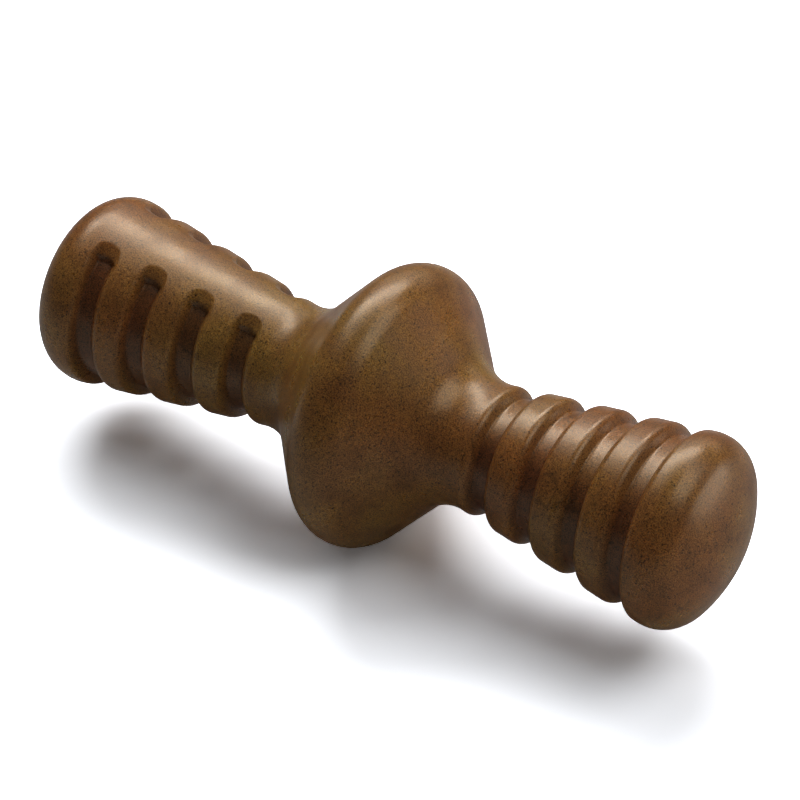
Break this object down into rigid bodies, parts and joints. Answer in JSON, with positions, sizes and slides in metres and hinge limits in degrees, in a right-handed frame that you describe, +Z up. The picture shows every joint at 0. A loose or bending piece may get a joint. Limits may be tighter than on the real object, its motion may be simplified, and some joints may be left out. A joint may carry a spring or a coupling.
{
  "type": "dog chew toy",
  "caption": "Solid nylon chew stick for dogs: a double-cone hub between two ribbed grips that widen to domed end knobs, with a smooth band along one grip.",
  "frame": {"origin": "middle of the hub, on the toy's axis", "axes": "+X along the toy's axis, from the grip with the smooth band to the grip with unbroken grooves; +Z up, out of the middle of the smooth band; the hub stands on its lowest facet, below the origin"},
  "size_m": [0.17, 0.0636, 0.0636],
  "materials": {
    "flavoured_nylon": "solid moulded nylon, warm brown with fine dark specks and faint flow marks, satin"
  },
  "bodies": {
    "root": {"left_end_knob": "flavoured_nylon", "left_grip": "flavoured_nylon", "hub": "flavoured_nylon", "right_grip": "flavoured_nylon", "right_end_knob": "flavoured_nylon"}
  },
  "joints": []
}
